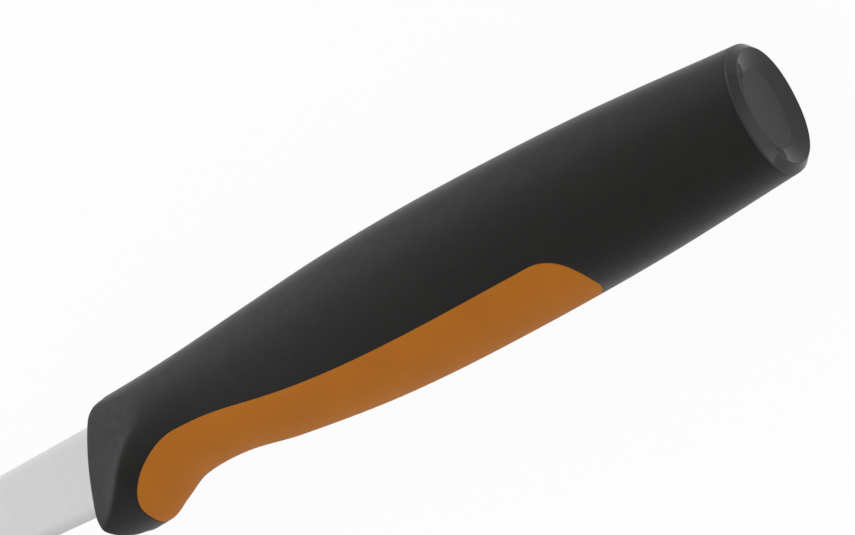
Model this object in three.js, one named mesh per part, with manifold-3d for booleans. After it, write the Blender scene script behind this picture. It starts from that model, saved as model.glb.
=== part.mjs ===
// Peeling knife: a curved steel blade in a moulded handle with a soft belly grip and a dished end cap.
// Millimetres. The knife lies on its flank: X runs from the blade to the butt, Y from the cutting edge
// to the spine and Z up through the handle. While it is built, X is 0 near the handle's front corner,
// Y is 0 on the handle's axis and Z is 0 in the blade's middle plane.
import * as THREE from 'three';
import { mergeVertices } from 'three/addons/utils/BufferGeometryUtils.js';
import Module from 'manifold-3d';

const wasm = await Module();
wasm.setup();

// Handle lines: spine height above the axis, belly depth below it, half the thickness, and how square the
// section is under its widest line. Section power is the same above that line.
const handleLength = 114.2;
const lines = {
  lead: { at: -6, spine: 8.0, belly: 10.2, half: 7.6, under: 1.75 },
  guard: { at: 9, spine: 8.37, belly: 10.18, half: 7.5, under: 1.8 },
  hook: { at: 12, spine: 8.43, belly: 9.04, half: 7.28, under: 1.85 },
  finger: { at: 17, spine: 8.58, belly: 7.19, half: 7.0, under: 1.95 },
  groove: { at: 25, spine: 9.02, belly: 7.06, half: 6.98, under: 2.05 },
  rise: { at: 34, spine: 9.67, belly: 8.6, half: 7.5, under: 2.1 },
  palm: { at: 50, spine: 10.65, belly: 10.35, half: 8.5, under: 2.15 },
  swell: { at: 67, spine: 10.9, belly: 10.95, half: 9.03, under: 2.15 },
  rear: { at: handleLength - 23, spine: 10.07, belly: 10.63, half: 8.6, under: 2.15 },
  butt: { at: handleLength, spine: 8.24, belly: 9.28, half: 7.65, under: 2.15 },
};
const sectionPower = 2.15;

// Nose: the slanted front of the handle, with a rounded corner at the spine and another at the chin.
const noseAt = 3.9;
const noseLean = THREE.MathUtils.degToRad(23.4);
const noseTopRadius = 2.8;
const noseChinRadius = 3.95;
const noseOverrun = -0.165;

// Thumb facets: outside an arc round the grip's front end they cut into both flanks, with a hollow along
// the arc and then an even slope to the nose. They fade out over the top, where they follow the section's
// rounding in part, and stay clear of the rest.
const facetCentre = { x: 20.5, y: -10.2 };
const facetRadius = 14;
const facetSlope = 0.38;
const facetHollow = 0.5;
const facetHollowReach = 1.5;
const facetSoftness = 0.2;
const facetClearance = 0.4;
const facetFollow = 0.5;
const facetFadeFrom = THREE.MathUtils.degToRad(52);
const facetFadeTo = THREE.MathUtils.degToRad(106);

// Moulded walls, and the gap between pieces that seat in one another.
const wall = 3;
const frontWallEnd = 15;
const fitGap = 0.3;

// Soft grip: its outline in the side view, its thickness, and the keys through the wall behind it.
const gripThickness = 1.8;
const gripFront = 8.8;
const gripFrontBelow = 8.4;
const gripFrontLean = 2.8;
const gripCrest = { x: 20.5, y: 0.15 };
const gripCrestRoundness = 0.44;
const gripSweepFront = 8;
const gripSweepRear = 36;
const gripEdge = { x: 70, y: -3.6 };
const gripCornerAt = 76.8;
const gripCornerRoundness = 0.55;
const gripRear = 84.7;
const gripRearBelow = 7.6;
const gripTail = 81.9;
const gripKeyRadius = 1.6;
const gripKeysAt = [34, 52, 70];

// Butt: its lean, and the end cap's shoulder, sharp crest, dish with a flat floor and plug into the handle.
const buttLean = 0.03;
const shoulderRise = 0.5;
const shoulderInset = 0.1;
const crestRise = 1.18;
const crestInset = 1;
const dishDepth = 1.03;
const dishInset = 3.6;
const plugLength = 9;

// Blade and tang.
const bladeLength = 70;
const bladeThickness = 1.2;
const edgeThickness = 0.45;
const edgeBevel = 0.7;
const bladeSpine = 6.1;
const bladeHeel = 5.35;
const heelRise = THREE.MathUtils.degToRad(3.8);
const spineStraight = 24;
const tipDrop = 6.8;
const tipHeight = 0.7;
const bladeRoot = 9.5;
const tangStart = 7;
const tangLength = 78;
const tangAxis = 1;
const tangHeight = 7;
const tangEndHeight = 5;
const tangHoleRadius = 1.6;
const tangHolesAt = [27, 48, 69];

// Facets of the curved surfaces, a length that clears the whole handle, the distance at which points
// are one, and how far a corner may stretch when an outline grows.
const flankSides = 38;
const innerSides = 26;
const frontSteps = 32;
const rearSteps = 12;
const innerSteps = 18;
const bladeSteps = 22;
const curveSteps = 10;
const clear = 40;
const weldDistance = 1e-5;
const cornerStretch = 2;

const stations = Object.values(lines);

// Value of a handle line at x: a smooth curve through the stations, level beyond the last ones.
function lineAt(x, line) {
  const last = stations.length - 1;
  let i = 0;
  while (i < last - 1 && x > stations[i + 1].at) i += 1;
  const slope = (k) => {
    const before = stations[Math.max(k - 1, 0)];
    const after = stations[Math.min(k + 1, last)];
    return (after[line] - before[line]) / (after.at - before.at);
  };
  const from = stations[i];
  const to = stations[i + 1];
  const span = to.at - from.at;
  const t = THREE.MathUtils.clamp((x - from.at) / span, 0, 1);
  const lift = t * (1 - t) * span * ((1 - t) * slope(i) - t * slope(i + 1));
  return THREE.MathUtils.lerp(from[line], to[line], t * t * (3 - 2 * t)) + lift;
}

// How far the thumb facets lie inside half the handle's thickness at a point of the side view.
function facetDepth(x, y) {
  const ahead = facetCentre.x - x;
  const above = Math.max(y - facetCentre.y, 0);
  const outside = Math.hypot(ahead, above) - facetRadius;
  const turn = Math.atan2(above, ahead);
  const fade = 1 - THREE.MathUtils.smoothstep(turn, facetFadeFrom, facetFadeTo);
  const part = outside / facetHollowReach;
  const hollow = facetHollow * (part > 0 ? 1 - Math.exp(-part) : part);
  return fade * (facetSlope * outside + hollow) - facetClearance * (1 - fade) ** 2;
}

// Rounded section of the handle at x, drawn in from the outer skin by inset and placed at placeX. It has
// a flat on each flank, which the knife lies on.
function handleRing(x, inset, sides, placeX = x) {
  const spine = lineAt(x, 'spine') - inset;
  const belly = lineAt(x, 'belly') - inset;
  const half = lineAt(x, 'half') - inset;
  const under = lineAt(x, 'under');
  return Array.from({ length: sides }, (_, i) => {
    const angle = ((i + 0.5) / sides) * 2 * Math.PI;
    const below = Math.sin(angle) < 0;
    const rounded = (v) => Math.sign(v) * Math.abs(v) ** (2 / (below ? under : sectionPower));
    const y = (spine - belly + rounded(Math.sin(angle)) * (spine + belly)) / 2;
    const side = rounded(Math.cos(angle));
    const share = below ? 1 : Math.abs(side) ** facetFollow;
    const over = Math.abs(side) * half - share * (half - facetDepth(x, y));
    const taken = (over + Math.hypot(over, share * facetSoftness)) / 2;
    const out = Math.max(Math.abs(side) * half - taken, 0);
    return new THREE.Vector3(placeX, y, Math.sign(side) * out);
  });
}

// Ring at the butt, leaning with it.
function buttRing(x, inset) {
  return handleRing(handleLength, inset, flankSides, x).map((p) => p.setX(p.x + buttLean * p.y));
}

// Evenly spaced values from first to last, both included.
function spread(first, last, steps) {
  return Array.from({ length: steps + 1 }, (_, i) => first + ((last - first) * i) / steps);
}

// Closed skin over a row of rings with as many points each, with a fan over both ends.
function skin(rings) {
  const sides = rings[0].length;
  const points = rings.flat();
  const index = [];
  for (let r = 0; r + 1 < rings.length; r += 1) {
    for (let i = 0; i < sides; i += 1) {
      const a = r * sides + i;
      const b = r * sides + ((i + 1) % sides);
      index.push(a, b + sides, b, a, a + sides, b + sides);
    }
  }
  for (const end of [0, rings.length - 1]) {
    const sum = rings[end].reduce((total, p) => total.add(p), new THREE.Vector3());
    const centre = points.push(sum.divideScalar(sides)) - 1;
    for (let i = 0; i < sides; i += 1) {
      const a = end * sides + i;
      const b = end * sides + ((i + 1) % sides);
      index.push(centre, ...(end === 0 ? [a, b] : [b, a]));
    }
  }
  const geometry = new THREE.BufferGeometry().setFromPoints(points);
  geometry.setIndex(index);
  return geometry;
}

// Solid for joins and cuts, from a closed geometry.
function solid(geometry) {
  geometry.deleteAttribute('normal');
  geometry.deleteAttribute('uv');
  const merged = mergeVertices(geometry, weldDistance);
  return new wasm.Manifold(new wasm.Mesh({
    numProp: 3,
    vertProperties: new Float32Array(merged.attributes.position.array),
    triVerts: new Uint32Array(merged.index.array),
  }));
}

// Named mesh of a finished solid.
function piece(name, body, material) {
  const mesh = body.getMesh();
  const geometry = new THREE.BufferGeometry();
  geometry.setAttribute('position', new THREE.BufferAttribute(mesh.vertProperties, 3));
  geometry.setIndex(new THREE.BufferAttribute(mesh.triVerts, 1));
  geometry.computeVertexNormals();
  const result = new THREE.Mesh(geometry, new THREE.MeshStandardMaterial(material));
  result.name = name;
  return result;
}

// Prism of a side-view shape, as thick as given and centred on the middle plane.
function prism(shape, thickness) {
  const options = { depth: thickness, bevelEnabled: false, curveSegments: curveSteps };
  return solid(new THREE.ExtrudeGeometry(shape, options).translate(0, 0, -thickness / 2));
}

// Box between two corners.
function block(low, high) {
  const size = high.clone().sub(low);
  const middle = low.clone().add(high).divideScalar(2);
  return solid(new THREE.BoxGeometry(size.x, size.y, size.z).translate(middle.x, middle.y, middle.z));
}

// Shape whose outline lies outside a given one by grow all round.
function grown(shape, grow) {
  const points = shape.getPoints(curveSteps);
  if (points[0].equals(points.at(-1))) points.pop();
  const turn = THREE.ShapeUtils.isClockWise(points) ? -1 : 1;
  const moved = points.map((point, i) => {
    const before = point.clone().sub(points.at(i - 1)).normalize();
    const after = points[(i + 1) % points.length].clone().sub(point).normalize();
    const along = before.add(after).normalize();
    const stretch = Math.min(1 / along.dot(after), cornerStretch);
    return new THREE.Vector2(along.y, -along.x).multiplyScalar(turn * grow * stretch).add(point);
  });
  return new THREE.Shape(moved);
}

// Form of the handle between two places, drawn in from the outer skin by inset.
function innerForm(from, to, inset) {
  return solid(skin(spread(from, to, innerSteps).map((x) => handleRing(x, inset, innerSides))));
}

// Side view of everything behind the slanted nose.
function noseShape() {
  const top = lines.guard.spine + noseOverrun;
  const chin = -lines.guard.belly - noseOverrun;
  const cornerX = (y, radius) => noseAt + Math.tan(noseLean) * y + radius / Math.cos(noseLean);
  const topY = top - noseTopRadius;
  const chinY = chin + noseChinRadius;
  const topX = cornerX(topY, noseTopRadius);
  const chinX = cornerX(chinY, noseChinRadius);
  const shape = new THREE.Shape();
  shape.moveTo(handleLength + clear, clear);
  shape.lineTo(topX, clear);
  shape.lineTo(topX, top);
  shape.absarc(topX, topY, noseTopRadius, Math.PI / 2, Math.PI - noseLean, false);
  shape.absarc(chinX, chinY, noseChinRadius, Math.PI - noseLean, 1.5 * Math.PI, false);
  shape.lineTo(chinX, -clear);
  shape.lineTo(handleLength + clear, -clear);
  return shape;
}

// Outer form of the whole handle.
function outerForm() {
  const front = spread(lines.lead.at, lines.rise.at, frontSteps);
  const rear = spread(lines.rise.at, handleLength, rearSteps).slice(1);
  const rings = [...front, ...rear.slice(0, -1)].map((x) => handleRing(x, 0, flankSides));
  const form = solid(skin([...rings, buttRing(handleLength, 0)]));
  return form.intersect(prism(noseShape(), clear));
}

// Side view of the soft grip: a round front end, a long sweep down to a level edge and a round rear end.
function gripShape() {
  const frontRise = (gripCrest.y + gripFrontBelow) * gripCrestRoundness;
  const frontRun = (gripCrest.x - gripFront) * gripCrestRoundness;
  const cornerRun = (gripRear - gripCornerAt) * gripCornerRoundness;
  const cornerFall = (gripEdge.y + gripRearBelow) * gripCornerRoundness;
  const shape = new THREE.Shape();
  shape.moveTo(gripFront - gripFrontLean, -clear / 2);
  shape.lineTo(gripFront, -gripFrontBelow);
  shape.bezierCurveTo(
    gripFront, frontRise - gripFrontBelow, gripCrest.x - frontRun, gripCrest.y, gripCrest.x, gripCrest.y,
  );
  shape.bezierCurveTo(
    gripCrest.x + gripSweepFront, gripCrest.y, gripEdge.x - gripSweepRear, gripEdge.y, gripEdge.x, gripEdge.y,
  );
  shape.lineTo(gripCornerAt, gripEdge.y);
  shape.bezierCurveTo(
    gripCornerAt + cornerRun, gripEdge.y, gripRear, cornerFall - gripRearBelow, gripRear, -gripRearBelow,
  );
  shape.quadraticCurveTo(gripRear, -lines.rear.belly, gripTail, -lines.swell.belly);
  shape.lineTo(gripTail, -clear / 2);
  return shape;
}

// Round keys that rise from the grip, through the handle's wall, to the core.
function gripKeys(radius) {
  return gripKeysAt.map((x) => {
    const low = gripThickness / 2 - lineAt(x, 'belly');
    const high = wall - lineAt(x, 'belly');
    const key = new THREE.CylinderGeometry(radius, radius, high - low, innerSides);
    return solid(key.translate(x, (low + high) / 2, 0));
  });
}

// Side view of the tang, tapering to a round end. Grow widens it, and narrows its anchor holes.
function tangShape(grow) {
  const end = tangStart + tangLength;
  const endRadius = tangEndHeight / 2;
  const shape = new THREE.Shape();
  shape.moveTo(tangStart, tangAxis + tangHeight / 2);
  shape.lineTo(tangStart, tangAxis - tangHeight / 2);
  shape.lineTo(end - endRadius, tangAxis - endRadius);
  shape.absarc(end - endRadius, tangAxis, endRadius, -Math.PI / 2, Math.PI / 2, false);
  const result = grown(shape, grow);
  for (const x of tangHolesAt) {
    result.holes.push(new THREE.Path().absarc(x, tangAxis, tangHoleRadius - grow, 0, 2 * Math.PI, true));
  }
  return result;
}

// Height of the cutting edge at a distance out from the handle: a hollow curve down to the tip.
function edgeAt(out) {
  const ahead = Math.max(out, 0);
  const rise = Math.tan(heelRise);
  const bend = (rise * bladeLength + tipDrop - bladeHeel) / bladeLength ** 2;
  return rise * ahead - bend * ahead ** 2 - bladeHeel;
}

// Height of the blade's spine at a distance out from the handle: straight, then curving down to the tip.
function spineAt(out) {
  const past = Math.max(out - spineStraight, 0) / (bladeLength - spineStraight);
  return bladeSpine - (bladeSpine + tipDrop - tipHeight) * past ** 2;
}

// Blade section: two flanks that taper from the spine, and a short bevel to the cutting edge.
function bladeRing(out) {
  const spine = spineAt(out);
  const edge = edgeAt(out);
  const shoulder = edge + Math.min(edgeBevel, (spine - edge) / 2);
  const taper = (bladeThickness - edgeThickness) / (bladeSpine + bladeHeel);
  const half = (y) => (bladeThickness - taper * (bladeSpine - y)) / 2;
  return [
    new THREE.Vector3(-out, shoulder, half(shoulder)),
    new THREE.Vector3(-out, spine, half(spine)),
    new THREE.Vector3(-out, spine, -half(spine)),
    new THREE.Vector3(-out, shoulder, -half(shoulder)),
    new THREE.Vector3(-out, edge, 0),
  ];
}

function makeBlade() {
  const outs = [...spread(bladeLength, 0, bladeSteps), -bladeRoot];
  const body = solid(skin(outs.map(bladeRing))).add(prism(tangShape(0), bladeThickness));
  return piece('blade', body, { color: 0xc9c9c8, roughness: 0.35, metalness: 1 });
}

function makeCore() {
  const rearEnd = handleLength - plugLength - fitGap;
  const form = innerForm(frontWallEnd + fitGap, rearEnd, wall + fitGap);
  const body = form.subtract(prism(tangShape(fitGap), bladeThickness + 2 * fitGap));
  return piece('handle_core', body, { color: 0x3b3a39, roughness: 0.6, metalness: 0 });
}

function makeBody(outer) {
  const pocket = prism(grown(gripShape(), fitGap), clear)
    .subtract(innerForm(lines.lead.at, handleLength, gripThickness + fitGap));
  const slitHalf = bladeThickness / 2 + fitGap;
  const slit = block(
    new THREE.Vector3(-clear, -bladeHeel - fitGap, -slitHalf),
    new THREE.Vector3(frontWallEnd + fitGap, bladeSpine + fitGap, slitHalf),
  );
  let body = outer.subtract(innerForm(frontWallEnd, handleLength + wall, wall));
  for (const cut of [pocket, slit, ...gripKeys(gripKeyRadius + fitGap)]) body = body.subtract(cut);
  return piece('handle_body', body, { color: 0x2a2827, roughness: 0.6, metalness: 0 });
}

function makeGrip(outer) {
  let body = outer.intersect(prism(gripShape(), clear))
    .subtract(innerForm(lines.lead.at, handleLength, gripThickness));
  for (const key of gripKeys(gripKeyRadius)) body = body.add(key);
  return piece('soft_grip', body, { color: 0xb56d24, roughness: 0.65, metalness: 0 });
}

function makeCap() {
  const seat = handleLength + fitGap;
  const crest = seat + crestRise;
  const body = solid(skin([
    buttRing(handleLength - plugLength, wall + fitGap),
    buttRing(seat, wall + fitGap),
    buttRing(seat, 0),
    buttRing(seat + shoulderRise, shoulderInset),
    buttRing(crest, crestInset),
    buttRing(crest - dishDepth, dishInset),
  ]));
  return piece('end_cap', body, { color: 0x1c1b1b, roughness: 0.12, metalness: 0 });
}

const outer = outerForm();
const knife = new THREE.Group();
knife.add(makeBlade(), makeCore(), makeBody(outer), makeGrip(outer), makeCap());

// The origin is on the table, under the middle of the knife.
const box = new THREE.Box3().setFromObject(knife);
const middle = box.getCenter(new THREE.Vector3());
knife.position.set(-middle.x, -middle.y, -box.min.z);

export default knife;
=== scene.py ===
# Peeling knife: the looks of its blade, moulded handle, soft grip and end cap.
import math

import bmesh
import bpy
import numpy as np
from mathutils import Matrix, Vector, kdtree
from mathutils.geometry import delaunay_2d_cdt


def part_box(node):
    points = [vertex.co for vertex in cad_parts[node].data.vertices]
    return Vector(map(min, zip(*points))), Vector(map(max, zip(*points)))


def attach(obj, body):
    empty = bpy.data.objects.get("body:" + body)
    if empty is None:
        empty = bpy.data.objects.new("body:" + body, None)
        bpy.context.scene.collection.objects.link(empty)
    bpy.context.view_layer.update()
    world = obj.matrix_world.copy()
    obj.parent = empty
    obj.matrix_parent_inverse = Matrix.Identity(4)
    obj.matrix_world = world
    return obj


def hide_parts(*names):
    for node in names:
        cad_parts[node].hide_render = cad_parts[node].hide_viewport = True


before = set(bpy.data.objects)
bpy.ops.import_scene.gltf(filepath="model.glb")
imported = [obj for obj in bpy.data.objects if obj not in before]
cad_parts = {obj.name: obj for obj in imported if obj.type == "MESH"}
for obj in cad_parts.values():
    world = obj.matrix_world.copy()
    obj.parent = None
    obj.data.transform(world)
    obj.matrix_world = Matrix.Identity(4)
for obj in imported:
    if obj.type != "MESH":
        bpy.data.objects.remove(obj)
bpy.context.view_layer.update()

BODY = "root"
MM = 0.001
QUARTER = math.pi / 2

# Handle lines, in millimetres: spine height above the axis, belly depth below it, half the thickness,
# and how full the lower half of the section is (2 is an ellipse, less is narrower). The upper half has
# the same fullness all along.
HANDLE_LENGTH = 114.2
STATIONS = {
    "lead": {"at": -6, "spine": 8.0, "belly": 10.2, "half": 7.6, "under": 1.75},
    "guard": {"at": 9, "spine": 8.37, "belly": 10.18, "half": 7.5, "under": 1.8},
    "hook": {"at": 12, "spine": 8.43, "belly": 9.04, "half": 7.28, "under": 1.85},
    "finger": {"at": 17, "spine": 8.58, "belly": 7.19, "half": 7.0, "under": 1.95},
    "groove": {"at": 25, "spine": 9.02, "belly": 7.06, "half": 6.98, "under": 2.05},
    "rise": {"at": 34, "spine": 9.67, "belly": 8.6, "half": 7.5, "under": 2.1},
    "palm": {"at": 50, "spine": 10.65, "belly": 10.35, "half": 8.5, "under": 2.15},
    "swell": {"at": 67, "spine": 10.88, "belly": 10.93, "half": 9.0, "under": 2.15},
    "rear": {"at": HANDLE_LENGTH - 23, "spine": 10.07, "belly": 10.63, "half": 8.6, "under": 2.15},
    "butt": {"at": HANDLE_LENGTH + 0.5, "spine": 8.2, "belly": 9.25, "half": 7.63, "under": 2.15},
}
SECTION_POWER = 2.15

# Nose: the slanted front of the handle, its rounded corners and how far they pass the handle's lines,
# and the rounding of its edge.
NOSE_AT = 3.9
NOSE_LEAN = math.radians(23.4)
NOSE_TOP_RADIUS = 2.8
NOSE_CHIN_RADIUS = 3.95
NOSE_OVERRUN = -0.165
NOSE_EDGE = 0.35

# Thumb facets: outside an arc round the grip's front end, the flanks slope down to the nose, with a
# hollow along the arc. On the upper half they follow the section's round in part, and towards the spine
# they fade out and lie clear of the flank.
FACET_CENTRE = (20.5, -10.2)
FACET_RADIUS = 14.0
FACET_SLOPE = 0.38
FACET_HOLLOW = 0.5
FACET_HOLLOW_REACH = 1.5
FACET_SOFTNESS = 0.2
FACET_CLEARANCE = 0.4
FACET_FOLLOW = 0.5
FACET_FADE_FROM = math.radians(52)
FACET_FADE_TO = math.radians(106)

# Soft grip: its outline in the side view, the pocket it fills, and the rounding of both edges of the
# seam.
GRIP_FRONT = 8.8
GRIP_FRONT_BELOW = 8.4
GRIP_FRONT_LEAN = 2.8
GRIP_CREST = (20.5, 0.15)
GRIP_CREST_ROUNDNESS = 0.44
GRIP_SWEEP_FRONT = 12.8
GRIP_SWEEP_REAR = 33.9
GRIP_EDGE = (66.6, -3.44)
GRIP_CORNER_AT = 79.3
GRIP_CORNER_ROUNDNESS = 0.57
GRIP_REAR = 85.0
GRIP_REAR_BELOW = 9.2
GRIP_TAIL = 81.9
GRIP_THICKNESS = 1.8
BELOW_BELLY = 20.0
SEAM_ROUND = 0.12

# Butt: where the handle body ends on its axis, its lean and the rounding of its edge, and the end
# cap's shoulder, rim, dish and plug.
BODY_END = HANDLE_LENGTH + 0.2
BUTT_LEAN = 0.03
BUTT_EDGE = 0.03
CAP_SEAT = HANDLE_LENGTH + 0.21
CAP_EDGE = 0.03
SHOULDER_RISE = 0.3
SHOULDER_INSET = 0.06
SHOULDER_ROUND = 0.2
CREST_RISE = 1.27
CREST_INSET = 1.0
CREST_ROUND = 0.2
DISH_DEPTH = 1.05
DISH_INSET = 3.5
DISH_ROUND = 0.18
DISH_FLAT = 0.6
PLUG_LENGTH = 9.0
PLUG_INSET = 3.3
PLUG_ROUND = 0.3
CAP_SIDES = 200
CAP_ROUND_STEPS = 9

# Blade and tang, the slit in the nose that the blade comes out of, and the blade's rows and points.
BLADE_LENGTH = 70.0
BLADE_THICKNESS = 1.2
BLADE_EDGE_THICKNESS = 0.45
BLADE_BEVEL = 0.7
BLADE_SPINE = 6.1
BLADE_HEEL = 5.35
BLADE_HEEL_RISE = math.radians(3.8)
BLADE_SPINE_STRAIGHT = 24.0
BLADE_TIP_DROP = 6.8
BLADE_TIP_HEIGHT = 0.7
BLADE_TIP_ROUND = 0.6
BLADE_SPINE_ROUND = 0.15
BLADE_ROOT = 9.5
TANG_END = 85.0
TANG_AXIS = 1.0
TANG_HEIGHT = 7.0
TANG_END_HEIGHT = 5.0
SLIT_GAP = 0.04
SLIT_DEPTH = 12.0
BLADE_ROWS = 80
TIP_ROWS = 9
FLANK_POINTS = 12
SPINE_POINTS = 5

# Spacing of the skin's points: fine round the thumb facets, and coarser towards the butt. Inner points
# keep clear of an outline by a share of their spacing. The skin is unrolled flat to be filled with
# faces, and points closer than the weld become one.
FINE_STEP = 0.34
COARSE_STEP = 0.85
FINE_UNTIL = 26.0
COARSE_FROM = 40.0
CLEAR_SHARE = 0.6
UNROLLED_RADIUS = 9.0
WELD = 0.002

# Points on curves and edges, the box of the points on the nose's front, the rounds that find its edge,
# and the step that slopes are measured over.
CURVE_STEPS = 240
PAST_BELLY_STEPS = 600
NOSE_POINTS = 90
BUTT_POINTS = 60
SLIT_POINTS = 34
NOSE_LOW = -11
NOSE_HIGH = 9
NOSE_REACH = 9
NOSE_ROUNDS = 40
SLOPE_STEP = 0.01

# The handle's own axes lie in the blade's middle plane: x is 0 where the blade leaves the handle, and
# y is 0 on the handle's axis.
BLADE_LOW, BLADE_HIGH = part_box("blade")
ORIGIN = Vector((
    BLADE_LOW.x + BLADE_LENGTH * MM,
    BLADE_HIGH.y - BLADE_SPINE * MM,
    (BLADE_LOW.z + BLADE_HIGH.z) / 2,
))


# Handle form


def smooth(t):
    """Soft step from 0 to 1 as t goes from 0 to 1."""
    t = np.clip(t, 0, 1)
    return t * t * (3 - 2 * t)


def handle_line(x, line):
    """Value of a handle line at places x: smooth through the stations, level beyond the outer ones."""
    at = np.array([station["at"] for station in STATIONS.values()], float)
    value = np.array([station[line] for station in STATIONS.values()])
    number = np.arange(len(at))
    before = np.maximum(number - 1, 0)
    after = np.minimum(number + 1, len(at) - 1)
    slope = (value[after] - value[before]) / (at[after] - at[before])
    i = np.clip(np.searchsorted(at, x) - 1, 0, len(at) - 2)
    span = at[i + 1] - at[i]
    t = np.clip((x - at[i]) / span, 0, 1)
    lift = t * (1 - t) * span * ((1 - t) * slope[i] - t * slope[i + 1])
    return value[i] + (value[i + 1] - value[i]) * smooth(t) + lift


def soft_ramp(value, softness):
    """The value where it is above 0, and 0 below, with a soft bend between."""
    return (value + np.hypot(value, softness)) / 2


def facet_depth(x, y):
    """How far the thumb facets lie inside half the handle's thickness at points of the side view."""
    ahead = FACET_CENTRE[0] - x
    above = np.maximum(y - FACET_CENTRE[1], 0)
    turn = np.arctan2(above, ahead)
    fade = 1 - smooth((turn - FACET_FADE_FROM) / (FACET_FADE_TO - FACET_FADE_FROM))
    out = np.hypot(ahead, above) - FACET_RADIUS
    part = out / FACET_HOLLOW_REACH
    hollow = FACET_HOLLOW * np.where(part > 0, 1 - np.exp(-np.maximum(part, 0)), part)
    return fade * (FACET_SLOPE * out + hollow) - FACET_CLEARANCE * (1 - fade) ** 2


def skin(x, turn, inset=0.0):
    """Points of the handle's skin at places x, at turns from the belly (-90 degrees) to the spine."""
    x, turn = np.broadcast_arrays(np.asarray(x, float), np.asarray(turn, float))
    spine = handle_line(x, "spine") - inset
    belly = handle_line(x, "belly") - inset
    half = handle_line(x, "half") - inset
    below = np.sin(turn) < 0
    power = np.where(below, handle_line(x, "under"), SECTION_POWER)
    rise = np.sign(np.sin(turn)) * np.abs(np.sin(turn)) ** (2 / power)
    reach = np.sign(np.cos(turn)) * np.abs(np.cos(turn)) ** (2 / power)
    reach = np.where(np.abs(np.abs(turn) - QUARTER) < 1e-6, 0, reach)
    y = (spine - belly + rise * (spine + belly)) / 2
    share = np.where(below, 1, np.abs(reach) ** FACET_FOLLOW)
    out = np.abs(reach) * half
    out = out - soft_ramp(out - share * (half - facet_depth(x, y)), share * FACET_SOFTNESS)
    return np.stack([x, y, np.sign(reach) * np.maximum(out, 0)], axis=-1)


def unit(vectors):
    """Vectors of length 1."""
    return vectors / np.linalg.norm(vectors, axis=-1, keepdims=True)


def skin_normal(x, turn):
    """Directions straight out of the skin."""
    along = skin(x + SLOPE_STEP, turn) - skin(x - SLOPE_STEP, turn)
    around = skin(x, turn + SLOPE_STEP) - skin(x, turn - SLOPE_STEP)
    return unit(np.cross(along, around))


def nose_front(y):
    """Places of the slanted front at heights y, with its rounded corners."""
    top = STATIONS["guard"]["spine"] + NOSE_OVERRUN - NOSE_TOP_RADIUS
    chin = NOSE_CHIN_RADIUS - STATIONS["guard"]["belly"] - NOSE_OVERRUN
    x = NOSE_AT + math.tan(NOSE_LEAN) * y
    for middle, radius, past in ((top, NOSE_TOP_RADIUS, 1), (chin, NOSE_CHIN_RADIUS, -1)):
        corner = NOSE_AT + math.tan(NOSE_LEAN) * middle + radius / math.cos(NOSE_LEAN)
        arc = corner - np.sqrt(np.maximum(radius ** 2 - (y - middle) ** 2, 0))
        x = np.where((y - middle - radius * math.sin(NOSE_LEAN)) * past > 0, arc, x)
    return x


def front_edge(turn):
    """Places where the skin ends at the slanted front."""
    x = np.full_like(turn, NOSE_AT)
    for _ in range(NOSE_ROUNDS):
        x = nose_front(skin(x, turn)[:, 1])
    return x


def bezier(*controls, steps=CURVE_STEPS):
    """Points of the curve that a few control points draw."""
    t = np.linspace(0, 1, steps)[:, None]
    points = [np.array(control, float) + 0 * t for control in controls]
    while len(points) > 1:
        points = [a + (b - a) * t for a, b in zip(points, points[1:])]
    return points[0]


def grip_outline():
    """Side view of the grip's edge, from the belly in front, along the flank, to the belly behind."""
    crest_x, crest_y = GRIP_CREST
    edge_x, edge_y = GRIP_EDGE
    front_rise = (crest_y + GRIP_FRONT_BELOW) * GRIP_CREST_ROUNDNESS
    front_run = (crest_x - GRIP_FRONT) * GRIP_CREST_ROUNDNESS
    corner_run = (GRIP_REAR - GRIP_CORNER_AT) * GRIP_CORNER_ROUNDNESS
    corner_fall = (edge_y + GRIP_REAR_BELOW) * GRIP_CORNER_ROUNDNESS
    front = (GRIP_FRONT, -GRIP_FRONT_BELOW)
    front_pull = (GRIP_FRONT, front_rise - GRIP_FRONT_BELOW)
    crest_pull = (crest_x - front_run, crest_y)
    sweep_start = (crest_x + GRIP_SWEEP_FRONT, crest_y)
    sweep_end = (edge_x - GRIP_SWEEP_REAR, edge_y)
    corner = (GRIP_CORNER_AT, edge_y)
    corner_pull = (GRIP_CORNER_AT + corner_run, edge_y)
    rear_pull = (GRIP_REAR, corner_fall - GRIP_REAR_BELOW)
    rear = (GRIP_REAR, -GRIP_REAR_BELOW)
    tail_pull = (GRIP_REAR, -STATIONS["rear"]["belly"])
    tail = (GRIP_TAIL, -STATIONS["swell"]["belly"])
    return np.concatenate([
        bezier((GRIP_FRONT - GRIP_FRONT_LEAN, -BELOW_BELLY), front, steps=PAST_BELLY_STEPS),
        bezier(front, front_pull, crest_pull, GRIP_CREST)[1:],
        bezier(GRIP_CREST, sweep_start, sweep_end, GRIP_EDGE)[1:],
        bezier(GRIP_EDGE, corner)[1:],
        bezier(corner, corner_pull, rear_pull, rear)[1:],
        bezier(rear, tail_pull, tail)[1:],
        bezier(tail, (GRIP_TAIL, -BELOW_BELLY), steps=PAST_BELLY_STEPS)[1:],
    ])


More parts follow.
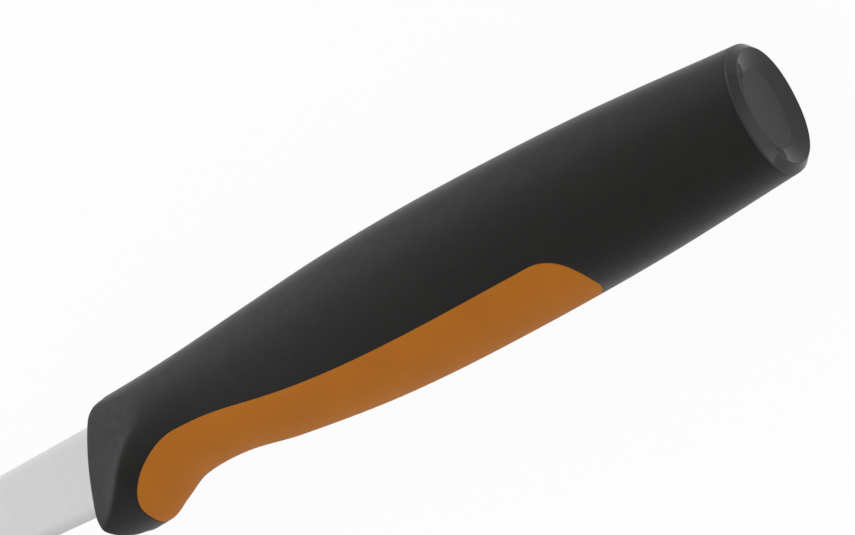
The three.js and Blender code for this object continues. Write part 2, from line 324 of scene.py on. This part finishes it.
def seam_line():
    """The grip's edge on the skin, as evenly spaced places and turns."""
    x, y = grip_outline().T
    spine = handle_line(x, "spine")
    belly = handle_line(x, "belly")
    rise = (2 * y - spine + belly) / (spine + belly)
    inside = np.flatnonzero(rise > -1)
    kept = slice(inside[0] - 1, inside[-1] + 2)
    x = x[kept]
    rise = np.clip(rise[kept], -1, 1)
    power = np.where(rise < 0, handle_line(x, "under"), SECTION_POWER)
    turn = np.arcsin(np.sign(rise) * np.abs(rise) ** (power / 2))
    length = np.append(0, np.cumsum(np.linalg.norm(np.diff(skin(x, turn), axis=0), axis=1)))
    marks = np.linspace(0, length[-1], round(length[-1] / FINE_STEP))
    return np.interp(marks, length, x), np.interp(marks, length, turn)


def beside(x, turn, distance):
    """The line on the skin that runs to the left of a given one, at a distance."""
    across = skin(x, turn + SLOPE_STEP) - skin(x, turn - SLOPE_STEP)
    girth = np.linalg.norm(across, axis=-1) / (2 * SLOPE_STEP)
    along = np.gradient(x)
    around = np.gradient(turn) * girth
    along[[0, -1]] = 0
    length = np.hypot(along, around)
    return x - around / length * distance, turn + along / length * distance / girth


# Mesh making. A part is a list of points in millimetres and a list of faces.


def step_at(x):
    """Spacing of the skin's points at a place along the handle."""
    return FINE_STEP + (COARSE_STEP - FINE_STEP) * smooth((x - FINE_UNTIL) / (COARSE_FROM - FINE_UNTIL))


def places(first, last):
    """Places from first to last, at the skin's spacing."""
    found = [min(first, last)]
    while found[-1] + 1.5 * step_at(found[-1]) < max(first, last):
        found.append(found[-1] + float(step_at(found[-1])))
    found.append(max(first, last))
    return np.array(found if first < last else found[::-1])


def fill(outline, inner, clearance):
    """Triangles in a flat outline, over its own points and the inner points that are clear of it."""
    near = kdtree.KDTree(len(outline))
    for i, point in enumerate(outline):
        near.insert((*point, 0), i)
    near.balance()
    kept = [p for p, gap in zip(inner, clearance) if near.find((*p, 0))[2] > gap]
    points = [Vector(p) for p in [*outline, *kept]]
    found, _, faces, *_ = delaunay_2d_cdt(points, [], [list(range(len(outline)))], 1, 1e-7)
    return np.array([tuple(p) for p in found]), faces


def skin_patch(x, turn, inset=0.0):
    """Part of the skin inside an outline of places and turns."""
    outline = np.stack([x, turn * UNROLLED_RADIUS], axis=-1)
    half_girth = QUARTER * UNROLLED_RADIUS
    inner = []
    for i, place in enumerate(places(x.min(), x.max())):
        step = float(step_at(place))
        across = np.arange(-half_girth + step / (1 + i % 2), half_girth, step)
        inner.extend((place, a) for a in across)
    flat, faces = fill(outline, inner, [CLEAR_SHARE * float(step_at(p[0])) for p in inner])
    return skin(flat[:, 0], flat[:, 1] / UNROLLED_RADIUS, inset), faces


def bands(rows):
    """Part over rows of as many points each."""
    count = len(rows[0])
    faces = []
    for r in range(len(rows) - 1):
        for i in range(count - 1):
            a = r * count + i
            faces.append((a, a + 1, a + 1 + count, a + count))
    return np.concatenate(rows), faces


def rounded_rows(before, corner, after, steps=5):
    """Rows that round a sharp corner line, from the row before it to the row after it."""
    shares = np.linspace(0, 1, steps)
    return [(1 - t) ** 2 * before + 2 * t * (1 - t) * corner + t * t * after for t in shares]


def cover(row):
    """Part with one flat face, closed along the middle plane."""
    return row, [tuple(range(len(row)))]


def make_piece(name, parts, material, node, sharp_angle=50):
    """One closed piece, joined from the parts of a half and their mirror, for a node of the frame."""
    mesh = bmesh.new()
    for points, faces in parts:
        for side in (1, -1):
            corners = [mesh.verts.new(ORIGIN + Vector((p[0], p[1], p[2] * side)) * MM) for p in points]
            for face in faces:
                mesh.faces.new([corners[i] for i in face[::side]])
    bmesh.ops.remove_doubles(mesh, verts=mesh.verts, dist=WELD * MM)
    bmesh.ops.delete(mesh, geom=[v for v in mesh.verts if not v.link_faces], context="VERTS")
    bmesh.ops.recalc_face_normals(mesh, faces=mesh.faces)
    data = bpy.data.meshes.new(name)
    mesh.to_mesh(data)
    mesh.free()
    return dress(name, data, material, node, sharp_angle)


def dress(name, data, material, node, sharp_angle):
    """Object of a finished mesh, with its finish, its node and its body."""
    data.shade_smooth()
    data.set_sharp_from_angle(angle=math.radians(sharp_angle))
    data.materials.clear()
    data.materials.append(material)
    piece = bpy.data.objects.new(name, data)
    bpy.context.scene.collection.objects.link(piece)
    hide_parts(node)
    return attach(piece, BODY)


# Pieces


def blade_half(y):
    """Half the blade's thickness at heights y on its flanks."""
    taper = (BLADE_THICKNESS - BLADE_EDGE_THICKNESS) / (BLADE_SPINE + BLADE_HEEL)
    return (BLADE_THICKNESS - taper * (BLADE_SPINE - y)) / 2


def blade_heights(out):
    """Heights of the cutting edge and the spine at a distance out from the handle."""
    ahead = max(out, 0)
    rise = math.tan(BLADE_HEEL_RISE)
    bend = (rise * BLADE_LENGTH + BLADE_TIP_DROP - BLADE_HEEL) / BLADE_LENGTH ** 2
    edge = rise * ahead - bend * ahead ** 2 - BLADE_HEEL
    past = max(out - BLADE_SPINE_STRAIGHT, 0) / (BLADE_LENGTH - BLADE_SPINE_STRAIGHT)
    spine = BLADE_SPINE - (BLADE_SPINE + BLADE_TIP_DROP - BLADE_TIP_HEIGHT) * past ** 2
    to_tip = min((BLADE_LENGTH - out) / BLADE_TIP_ROUND, 1)
    shrink = 1 - math.sqrt(1 - (1 - to_tip) ** 2)
    middle = (edge + spine) / 2
    return edge + (middle - edge) * shrink, spine + (middle - spine) * shrink


def blade_row(out, edge, spine, half, bevel):
    """Half section: the cutting edge, a short bevel, the flank and the rounded corner at the spine."""
    shoulder = edge + min(bevel, (spine - edge) / 3)
    corner = min(BLADE_SPINE_ROUND, (spine - edge) / 3)
    flank = [(y, half(y)) for y in np.linspace(shoulder, spine - corner, FLANK_POINTS)]
    turns = np.linspace(0, QUARTER, SPINE_POINTS)[1:]
    arc = [
        (spine - corner * (1 - math.sin(t)), half(spine - corner) - corner * (1 - math.cos(t)))
        for t in turns
    ]
    return np.array([(-out, y, max(z, 0)) for y, z in [(edge, 0), *flank, *arc, (spine, 0)]])


def make_blade(material):
    """Blade from its tip to its heel, and the tang behind it."""
    outs = np.concatenate([
        BLADE_LENGTH - BLADE_TIP_ROUND * np.linspace(0, 1, TIP_ROWS) ** 2,
        np.linspace(BLADE_LENGTH - BLADE_TIP_ROUND, 0, BLADE_ROWS)[1:],
        [-BLADE_ROOT],
    ])
    rows = []
    for out in outs:
        edge, spine = blade_heights(out)
        rows.append(blade_row(out, edge, spine, blade_half, BLADE_BEVEL))
    for out, height in ((-BLADE_ROOT, TANG_HEIGHT), (-TANG_END, TANG_END_HEIGHT)):
        low = TANG_AXIS - height / 2
        rows.append(blade_row(out, low, low + height, lambda y: BLADE_THICKNESS / 2, BLADE_SPINE_ROUND))
    parts = [bands(rows), cover(rows[-1])]
    return make_piece("blade_satin_steel", parts, material, "blade", sharp_angle=20)


def seam_rows(x, turn, side):
    """Rows from the skin on one side of the seam, round its edge and down the wall of the pocket."""
    seam = skin(x, turn)
    below = seam - skin_normal(x, turn) * SEAM_ROUND
    below[[0, -1], 2] = 0
    before = skin(*beside(x, turn, SEAM_ROUND * side))
    return [*rounded_rows(before, seam, below), skin(x, turn, GRIP_THICKNESS)]


def grip_bed(x, turn):
    """Part under the grip: the pocket's floor, or the grip's own underside."""
    belly = places(x[-1], x[0])[1:-1]
    turns = np.append(turn, np.full(len(belly), -QUARTER))
    return skin_patch(np.append(x, belly), turns, GRIP_THICKNESS)


def make_grip(material):
    """Orange inlay: its outer skin, the seam's edge and wall, and its underside."""
    x, turn = seam_line()
    inner_x, inner_turn = beside(x, turn, -SEAM_ROUND)
    belly = places(inner_x[-1], inner_x[0])[1:-1]
    turns = np.append(inner_turn, np.full(len(belly), -QUARTER))
    outer = skin_patch(np.append(inner_x, belly), turns)
    parts = [outer, bands(seam_rows(x, turn, -1)), grip_bed(x, turn)]
    return make_piece("soft_grip_inlay", parts, material, "soft_grip")


def nose_parts(turn):
    """Parts of the nose: its rounded edge, its slanted front and the slit for the blade."""
    x = front_edge(turn)
    corner = skin(x, turn)
    corner[[0, -1], 2] = 0
    ahead = nose_front(corner[:, 1] + SLOPE_STEP) - nose_front(corner[:, 1] - SLOPE_STEP)
    slope = ahead / (2 * SLOPE_STEP)
    face_normal = np.stack([-np.ones_like(slope), slope, 0 * slope], axis=-1)
    inward = unit(np.cross(face_normal, np.gradient(corner, axis=0)))
    inward *= -np.sign(np.sum(inward * (corner - [NOSE_AT, 0, 0]), axis=1, keepdims=True))
    inward[[0, -1], 2] = 0
    after = corner + inward * NOSE_EDGE
    after[:, 0] = nose_front(after[:, 1])
    edge = bands(rounded_rows(skin(x + NOSE_EDGE, turn), corner, after, steps=7))
    top = BLADE_SPINE + SLIT_GAP
    low = -BLADE_HEEL - SLIT_GAP
    heights = np.linspace(top, low, SLIT_POINTS)
    slit = np.array([(top, 0), *((y, blade_half(y) + SLIT_GAP) for y in heights), (low, 0)])
    outline = np.concatenate([after[:, 1:], slit])
    rises = np.arange(NOSE_LOW, NOSE_HIGH, FINE_STEP)
    inner = [(y, z) for y in rises for z in np.arange(FINE_STEP, NOSE_REACH, FINE_STEP)]
    flat, faces = fill(outline, inner, [CLEAR_SHARE * FINE_STEP] * len(inner))
    front = np.column_stack([nose_front(flat[:, 0]), flat])
    mouth = np.column_stack([nose_front(slit[:, 0]), slit])
    deep = np.column_stack([np.full(len(slit), SLIT_DEPTH), slit])
    return [edge, (front, faces), bands([mouth, deep]), cover(deep)]


def butt_places(turn):
    """Places where the handle body ends at its leaning butt."""
    return BODY_END + BUTT_LEAN * skin(np.full(len(turn), BODY_END), turn)[:, 1]


def make_body(material):
    """Black handle: its skin, the grip's pocket, the butt, and the nose with the blade's slit."""
    x, turn = seam_line()
    seam_x, seam_turn = beside(x, turn, SEAM_ROUND)
    nose_turn = np.linspace(-QUARTER, QUARTER, NOSE_POINTS)
    nose_x = front_edge(nose_turn) + NOSE_EDGE
    butt_turn = np.linspace(QUARTER, -QUARTER, BUTT_POINTS)
    butt_x = butt_places(butt_turn) - BUTT_EDGE
    spine = places(nose_x[-1], butt_x[0])[1:-1]
    belly_rear = places(butt_x[-1], seam_x[-1])[1:-1]
    belly_front = places(seam_x[0], nose_x[0])[1:-1]
    outer = skin_patch(
        np.concatenate([nose_x, spine, butt_x, belly_rear, seam_x[::-1], belly_front]),
        np.concatenate([
            nose_turn, np.full(len(spine), QUARTER), butt_turn, np.full(len(belly_rear), -QUARTER),
            seam_turn[::-1], np.full(len(belly_front), -QUARTER),
        ]),
    )
    butt = skin(butt_x + BUTT_EDGE, butt_turn)
    inward = -skin_normal(butt[:, 0], butt_turn) * [0, 1, 1]
    butt_inner = butt + unit(inward) * BUTT_EDGE
    butt_inner[[0, -1], 2] = 0
    butt_rows = rounded_rows(skin(butt_x, butt_turn), butt, butt_inner)
    pocket = [bands(seam_rows(x, turn, 1)), grip_bed(x, turn)]
    parts = [outer, *pocket, bands(butt_rows), cover(butt_inner), *nose_parts(nose_turn)]
    return make_piece("handle_body_shell", parts, material, "handle_body")


def add_node(tree, kind, **settings):
    """Node of a tree, with its settings."""
    node = tree.nodes.new(kind)
    for name, value in settings.items():
        setattr(node, name, value)
    return node


def rim_tree(sizes):
    """Geometry nodes that sweep the end cap's rim round the butt's oval and close its dish and plug."""
    tree = bpy.data.node_groups.new("end_cap_rim", "GeometryNodeTree")
    tree.interface.new_socket("Oval", in_out="INPUT", socket_type="NodeSocketGeometry")
    for name in sizes:
        tree.interface.new_socket(name, in_out="INPUT", socket_type="NodeSocketFloat")
    tree.interface.new_socket("Finish", in_out="INPUT", socket_type="NodeSocketMaterial")
    tree.interface.new_socket("Cap", in_out="OUTPUT", socket_type="NodeSocketGeometry")
    link = tree.links.new
    given = add_node(tree, "NodeGroupInput")
    size = given.outputs

    def give(socket, value):
        """Sets a socket to a number, or links another socket to it."""
        if isinstance(value, (int, float)):
            socket.default_value = value
        else:
            link(value, socket)

    def math_node(operation, *values):
        node = add_node(tree, "ShaderNodeMath", operation=operation)
        for socket, value in zip(node.inputs, values):
            give(socket, value)
        return node.outputs[0]

    def point(*values):
        node = add_node(tree, "ShaderNodeCombineXYZ")
        for socket, value in zip(node.inputs, values):
            give(socket, value)
        return node.outputs[0]

    floor = math_node("SUBTRACT", size["Crest rise"], size["Dish depth"])
    corners = [
        (size["Plug inset"], math_node("MULTIPLY", size["Plug length"], -1), 0.0),
        (size["Plug inset"], 0.0, size["Plug round"]),
        (0.0, 0.0, size["Edge round"]),
        (size["Shoulder inset"], size["Shoulder rise"], size["Shoulder round"]),
        (size["Crest inset"], size["Crest rise"], size["Crest round"]),
        (size["Dish inset"], floor, size["Dish round"]),
        (math_node("ADD", size["Dish inset"], size["Dish flat"]), floor, 0.0),
    ]
    number = add_node(tree, "GeometryNodeInputIndex").outputs[0]

    def pick(kind, values):
        """The value for each point by its number."""
        node = add_node(tree, "GeometryNodeIndexSwitch", data_type=kind)
        while len(node.index_switch_items) < len(values):
            node.index_switch_items.new()
        link(number, node.inputs["Index"])
        for socket, value in zip(node.inputs[1:], values):
            give(socket, value)
        return node.outputs[0]

    line = add_node(tree, "GeometryNodeMeshLine")
    line.inputs["Count"].default_value = len(corners)
    bent = add_node(tree, "GeometryNodeSetPosition")
    link(line.outputs[0], bent.inputs["Geometry"])
    link(pick("VECTOR", [point(inset, rise) for inset, rise, _ in corners]), bent.inputs["Position"])
    profile = add_node(tree, "GeometryNodeMeshToCurve")
    link(bent.outputs[0], profile.inputs["Mesh"])
    fillet = add_node(tree, "GeometryNodeFilletCurve", mode="POLY")
    fillet.inputs["Count"].default_value = CAP_ROUND_STEPS
    fillet.inputs["Limit Radius"].default_value = True
    link(profile.outputs[0], fillet.inputs["Curve"])
    link(pick("FLOAT", [rounding for *_, rounding in corners]), fillet.inputs["Radius"])
    path = add_node(tree, "GeometryNodeMeshToCurve")
    link(size["Oval"], path.inputs["Mesh"])
    upright = add_node(tree, "GeometryNodeSetCurveNormal", mode="Z_UP")
    link(path.outputs[0], upright.inputs["Curve"])
    sweep = add_node(tree, "GeometryNodeCurveToMesh")
    link(upright.outputs[0], sweep.inputs["Curve"])
    link(fillet.outputs[0], sweep.inputs["Profile Curve"])
    rim = add_node(tree, "GeometryNodeInputMeshEdgeNeighbors")
    open_edge = add_node(tree, "FunctionNodeCompare", data_type="INT", operation="EQUAL")
    link(rim.outputs[0], open_edge.inputs[2])
    open_edge.inputs[3].default_value = 1
    grow = add_node(tree, "GeometryNodeExtrudeMesh", mode="EDGES")
    grow.inputs["Offset Scale"].default_value = 0
    link(sweep.outputs[0], grow.inputs["Mesh"])
    link(open_edge.outputs[0], grow.inputs["Selection"])
    where = add_node(tree, "GeometryNodeInputPosition")
    level = add_node(tree, "ShaderNodeVectorMath", operation="MULTIPLY")
    level.inputs[1].default_value = (0, 0, 1)
    link(where.outputs[0], level.inputs[0])
    close = add_node(tree, "GeometryNodeSetPosition")
    link(grow.outputs["Mesh"], close.inputs["Geometry"])
    link(grow.outputs["Top"], close.inputs["Selection"])
    link(level.outputs[0], close.inputs["Position"])
    weld = add_node(tree, "GeometryNodeMergeByDistance")
    weld.inputs["Distance"].default_value = WELD * MM
    link(close.outputs[0], weld.inputs["Geometry"])
    real = add_node(tree, "GeometryNodeRealizeInstances")
    link(weld.outputs[0], real.inputs[0])
    finish = add_node(tree, "GeometryNodeSetMaterial")
    link(real.outputs[0], finish.inputs["Geometry"])
    link(size["Finish"], finish.inputs["Material"])
    link(finish.outputs[0], add_node(tree, "NodeGroupOutput").inputs[0])
    return tree


def make_cap(material):
    """End cap, swept round the butt's oval and set on the leaning butt."""
    turns = np.linspace(0, 2 * math.pi, CAP_SIDES, endpoint=False)
    ring = skin(butt_places(turns), turns)
    centre = (ring[:, 1].max() + ring[:, 1].min()) / 2
    sizes = {
        "Edge round": CAP_EDGE,
        "Shoulder rise": SHOULDER_RISE,
        "Shoulder inset": SHOULDER_INSET,
        "Shoulder round": SHOULDER_ROUND,
        "Crest rise": CREST_RISE,
        "Crest inset": CREST_INSET,
        "Crest round": CREST_ROUND,
        "Dish depth": DISH_DEPTH,
        "Dish inset": DISH_INSET,
        "Dish round": DISH_ROUND,
        "Dish flat": DISH_FLAT,
        "Plug length": PLUG_LENGTH,
        "Plug inset": PLUG_INSET,
        "Plug round": PLUG_ROUND,
    }
    oval = bpy.data.meshes.new("end_cap_oval")
    oval.from_pydata(
        [((y - centre) * MM, z * MM, 0) for _, y, z in ring],
        [(i, (i + 1) % CAP_SIDES) for i in range(CAP_SIDES)],
        [],
    )
    former = bpy.data.objects.new("end_cap_former", oval)
    bpy.context.scene.collection.objects.link(former)
    tree = rim_tree(sizes)
    modifier = former.modifiers.new("rim", "NODES")
    modifier.node_group = tree
    inputs = [item for item in tree.interface.items_tree if item.in_out == "INPUT"]
    sockets = {item.name: item.identifier for item in inputs}
    for name, value in sizes.items():
        modifier[sockets[name]] = value * MM
    modifier[sockets["Finish"]] = material
    shaped = former.evaluated_get(bpy.context.evaluated_depsgraph_get())
    data = bpy.data.meshes.new_from_object(shaped)
    bpy.data.objects.remove(former)
    seat = CAP_SEAT + BUTT_LEAN * centre
    upright = Matrix((
        (BUTT_LEAN, 0, -1, seat * MM),
        (1, 0, 0, centre * MM),
        (0, -1, 0, 0),
        (0, 0, 0, 1),
    ))
    data.transform(Matrix.Translation(ORIGIN) @ upright)
    mesh = bmesh.new()
    mesh.from_mesh(data)
    bmesh.ops.recalc_face_normals(mesh, faces=mesh.faces)
    mesh.to_mesh(data)
    mesh.free()
    data.name = "end_cap_gloss"
    return dress("end_cap_gloss", data, material, "end_cap", sharp_angle=12)


# Finishes: the strengths that most of a noise lies between, and the roughness added on the dish's
# floor, with the heights above the floor, in millimetres, between which it fades out.
NOISE_LOW = 0.3
NOISE_HIGH = 0.7
SATIN_FROM = 0.02
SATIN_TO = 0.1
DISH_SATIN = 0.3


class Finish:
    """Material whose detail is worked out from the piece's own coordinates."""

    def __init__(self, name):
        self.material = bpy.data.materials.new(name)
        self.material.use_nodes = True
        self.tree = self.material.node_tree
        self.shader = self.tree.nodes["Principled BSDF"]
        self.place = self.tree.nodes.new("ShaderNodeTexCoord").outputs["Object"]

    def set(self, **values):
        """Sets constant numbers on the shader's own sockets."""
        for name, value in values.items():
            self.shader.inputs[name.replace("_", " ")].default_value = value

    def noise(self, scale, detail=2.0, stretch=(1, 1, 1)):
        """Strength of a noise with so many features in a metre."""
        mapping = self.tree.nodes.new("ShaderNodeMapping")
        mapping.inputs["Scale"].default_value = stretch
        noise = self.tree.nodes.new("ShaderNodeTexNoise")
        noise.inputs["Scale"].default_value = scale
        noise.inputs["Detail"].default_value = detail
        self.tree.links.new(self.place, mapping.inputs["Vector"])
        self.tree.links.new(mapping.outputs[0], noise.inputs["Vector"])
        return noise.outputs["Fac"]

    def ramp(self, value, low, high, first, last):
        """A number that goes from first to last as a value goes from low to high."""
        node = self.tree.nodes.new("ShaderNodeMapRange")
        for name, end in (("From Min", low), ("From Max", high), ("To Min", first), ("To Max", last)):
            node.inputs[name].default_value = end
        self.tree.links.new(value, node.inputs["Value"])
        return node.outputs["Result"]

    def level(self, direction, low, high, first, last):
        """A number that goes from first to last between two distances along a direction, in metres."""
        along = add_node(self.tree, "ShaderNodeVectorMath", operation="DOT_PRODUCT")
        along.inputs[1].default_value = direction
        self.tree.links.new(self.place, along.inputs[0])
        return self.ramp(along.outputs["Value"], low, high, first, last)

    def total(self, first, second):
        """Sum of two numbers."""
        node = self.tree.nodes.new("ShaderNodeMath")
        self.tree.links.new(first, node.inputs[0])
        self.tree.links.new(second, node.inputs[1])
        return node.outputs[0]

    def between(self, strength, low, high):
        """A number that goes from low to high with a noise's strength."""
        return self.ramp(strength, NOISE_LOW, NOISE_HIGH, low, high)

    def colours(self, strength, low, high):
        """A colour that goes from low to high with a noise's strength."""
        node = add_node(self.tree, "ShaderNodeMix", data_type="RGBA")
        node.inputs["A"].default_value = (*low, 1)
        node.inputs["B"].default_value = (*high, 1)
        self.tree.links.new(self.between(strength, 0, 1), node.inputs["Factor"])
        return node.outputs["Result"]

    def feed(self, socket, name):
        """Links a socket to one of the shader's."""
        self.tree.links.new(socket, self.shader.inputs[name])

    def bump(self, heights, depth, strength=1.0):
        """Relief of a depth in metres."""
        node = self.tree.nodes.new("ShaderNodeBump")
        node.inputs["Strength"].default_value = strength
        node.inputs["Distance"].default_value = depth
        self.tree.links.new(heights, node.inputs["Height"])
        self.feed(node.outputs["Normal"], "Normal")


def moulded_black():
    finish = Finish("moulded_black_plastic")
    finish.set(IOR=1.5, Specular_IOR_Level=0.25, Sheen_Weight=0.3, Sheen_Roughness=0.4)
    colour = finish.colours(finish.noise(240), (0.0043, 0.0036, 0.0026), (0.0057, 0.0048, 0.0036))
    finish.feed(colour, "Base Color")
    finish.feed(finish.between(finish.noise(900), 0.46, 0.54), "Roughness")
    finish.bump(finish.noise(4200, 3), 0.00006, 0.6)
    return finish.material


def soft_orange():
    finish = Finish("soft_orange_rubber")
    finish.set(IOR=1.45, Specular_IOR_Level=0.32)
    colour = finish.colours(finish.noise(160), (0.45, 0.141, 0.0024), (0.49, 0.155, 0.0032))
    finish.feed(colour, "Base Color")
    finish.feed(finish.between(finish.noise(1500), 0.55, 0.66), "Roughness")
    finish.bump(finish.noise(5200, 3), 0.00002, 0.25)
    return finish.material


def gloss_black():
    finish = Finish("gloss_black_plastic")
    finish.set(IOR=1.5, Specular_IOR_Level=0.68)
    colour = finish.colours(finish.noise(400), (0.006, 0.006, 0.006), (0.008, 0.0076, 0.0076))
    finish.feed(colour, "Base Color")
    floor = ORIGIN.x - BUTT_LEAN * ORIGIN.y + (CAP_SEAT + CREST_RISE - DISH_DEPTH) * MM
    low, high = floor + SATIN_FROM * MM, floor + SATIN_TO * MM
    satin = finish.level((1, -BUTT_LEAN, 0), low, high, DISH_SATIN, 0.0)
    finish.feed(finish.total(satin, finish.between(finish.noise(700), 0.09, 0.13)), "Roughness")
    finish.bump(finish.noise(420, 1), 0.00001, 0.2)
    return finish.material


def satin_steel():
    finish = Finish("satin_blade_steel")
    finish.set(Metallic=1.0)
    brushed = finish.noise(9000, 2, (1, 0.02, 0.02))
    colour = finish.colours(brushed, (0.75, 0.75, 0.75), (0.79, 0.79, 0.79))
    finish.feed(colour, "Base Color")
    finish.feed(finish.between(brushed, 0.28, 0.38), "Roughness")
    finish.bump(brushed, 0.000004, 0.3)
    return finish.material


def core_grey():
    finish = Finish("core_grey_plastic")
    colour = finish.colours(finish.noise(300), (0.04, 0.038, 0.037), (0.05, 0.048, 0.047))
    finish.feed(colour, "Base Color")
    finish.feed(finish.between(finish.noise(900), 0.5, 0.6), "Roughness")
    finish.bump(finish.noise(3000), 0.00002, 0.3)
    return finish.material


# Stage: the table, even light from the whole room, and soft patches of light in it, each with its turn
# about the upright axis and its rise above the table in degrees, its focus and its strength.
FLOOR_REACH = 3.0
FLOOR_WHITE = 0.88
FLOOR_ROUGHNESS = 0.9
FLOOR_GLOW = {"Is Camera Ray": 0.95, "Is Glossy Ray": 0.2, "Is Transmission Ray": 0.2}
ROOM_LIGHT = 0.6
SOFT_LIGHTS = (
    {"turn": 120, "rise": 8, "focus": 14, "strength": 1.8},
    {"turn": 150, "rise": 8, "focus": 14, "strength": 1.3},
    {"turn": 300, "rise": 8, "focus": 14, "strength": 1.2},
    {"turn": 345, "rise": 24, "focus": 14, "strength": 0.35},
    {"turn": 165, "rise": 30, "focus": 14, "strength": 0.9},
)


def make_floor():
    """White table, which camera rays see near white and other rays see lit, with the knife's shadow."""
    data = bpy.data.meshes.new("floor")
    corners = [(-1, -1), (1, -1), (1, 1), (-1, 1)]
    data.from_pydata([(x * FLOOR_REACH, y * FLOOR_REACH, 0) for x, y in corners], [], [(0, 1, 2, 3)])
    floor = bpy.data.objects.new("floor", data)
    bpy.context.scene.collection.objects.link(floor)
    material = bpy.data.materials.new("white_table")
    material.use_nodes = True
    tree = material.node_tree
    shader = tree.nodes["Principled BSDF"]
    shader.inputs["Base Color"].default_value = (FLOOR_WHITE, FLOOR_WHITE, FLOOR_WHITE, 1)
    shader.inputs["Roughness"].default_value = FLOOR_ROUGHNESS
    rays = tree.nodes.new("ShaderNodeLightPath").outputs
    share = None
    for ray, amount in FLOOR_GLOW.items():
        part = add_node(tree, "ShaderNodeMath", operation="MULTIPLY_ADD")
        part.inputs[1].default_value = amount
        part.inputs[2].default_value = 0
        tree.links.new(rays[ray], part.inputs[0])
        if share:
            tree.links.new(share, part.inputs[2])
        share = part.outputs[0]
    glow = tree.nodes.new("ShaderNodeEmission")
    mix = tree.nodes.new("ShaderNodeMixShader")
    tree.links.new(share, mix.inputs["Fac"])
    tree.links.new(shader.outputs[0], mix.inputs[1])
    tree.links.new(glow.outputs[0], mix.inputs[2])
    tree.links.new(mix.outputs[0], tree.nodes["Material Output"].inputs["Surface"])
    data.materials.append(material)


def make_world():
    """Studio light: the room's even light and the soft patches, each brightest in its middle."""
    world = bpy.data.worlds.new("studio")
    bpy.context.scene.world = world
    world.use_nodes = True
    tree = world.node_tree
    direction = tree.nodes.new("ShaderNodeTexCoord").outputs["Generated"]
    total = None
    for light in SOFT_LIGHTS:
        turn, rise = math.radians(light["turn"]), math.radians(light["rise"])
        towards = (math.cos(turn) * math.cos(rise), math.sin(turn) * math.cos(rise), math.sin(rise))
        facing = add_node(tree, "ShaderNodeVectorMath", operation="DOT_PRODUCT")
        facing.inputs[1].default_value = towards
        fall = add_node(tree, "ShaderNodeMath", operation="MULTIPLY_ADD")
        fall.inputs[1].default_value = light["focus"]
        fall.inputs[2].default_value = -light["focus"]
        soft = add_node(tree, "ShaderNodeMath", operation="EXPONENT")
        part = add_node(tree, "ShaderNodeMath", operation="MULTIPLY_ADD")
        part.inputs[1].default_value = light["strength"]
        part.inputs[2].default_value = ROOM_LIGHT
        tree.links.new(direction, facing.inputs[0])
        tree.links.new(facing.outputs["Value"], fall.inputs[0])
        tree.links.new(fall.outputs[0], soft.inputs[0])
        tree.links.new(soft.outputs[0], part.inputs[0])
        if total:
            tree.links.new(total, part.inputs[2])
        total = part.outputs[0]
    room = tree.nodes["Background"]
    room.inputs["Color"].default_value = (1, 1, 1, 1)
    tree.links.new(total, room.inputs["Strength"])


# Camera, fitted to the photograph, 855 pixels wide: its target on the handle and its distance in
# millimetres, and its angles.
IMAGE_WIDTH = 855
FOCAL_PIXELS = 4710
SENSOR = 36.0
CAMERA_TARGET = (62.0, 2.6, 0.0)
CAMERA_DISTANCE = 600.0
CAMERA_YAW = math.radians(30)
CAMERA_ROLL = math.radians(29)
CLIP_START = 0.01


def make_camera():
    """Camera that sees the handle as the photograph does."""
    back = Vector((math.sin(CAMERA_YAW), 0, math.cos(CAMERA_YAW)))
    level = Vector((math.cos(CAMERA_YAW), 0, -math.sin(CAMERA_YAW)))
    above = back.cross(level)
    right = level * math.cos(CAMERA_ROLL) - above * math.sin(CAMERA_ROLL)
    up = level * math.sin(CAMERA_ROLL) + above * math.cos(CAMERA_ROLL)
    place = ORIGIN + (Vector(CAMERA_TARGET) + back * CAMERA_DISTANCE) * MM
    data = bpy.data.cameras.new("camera")
    data.sensor_fit = "HORIZONTAL"
    data.sensor_width = SENSOR
    data.lens = FOCAL_PIXELS / IMAGE_WIDTH * SENSOR
    data.clip_start = CLIP_START
    camera = bpy.data.objects.new("camera", data)
    camera.matrix_world = Matrix.Translation(place) @ Matrix((right, up, back)).transposed().to_4x4()
    bpy.context.scene.collection.objects.link(camera)
    bpy.context.scene.camera = camera


make_camera()
make_blade(satin_steel())
make_body(moulded_black())
make_grip(soft_orange())
make_cap(gloss_black())
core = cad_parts["handle_core"]
core.data.materials.clear()
core.data.materials.append(core_grey())
make_floor()
make_world()
bpy.context.scene.view_settings.view_transform = "Standard"
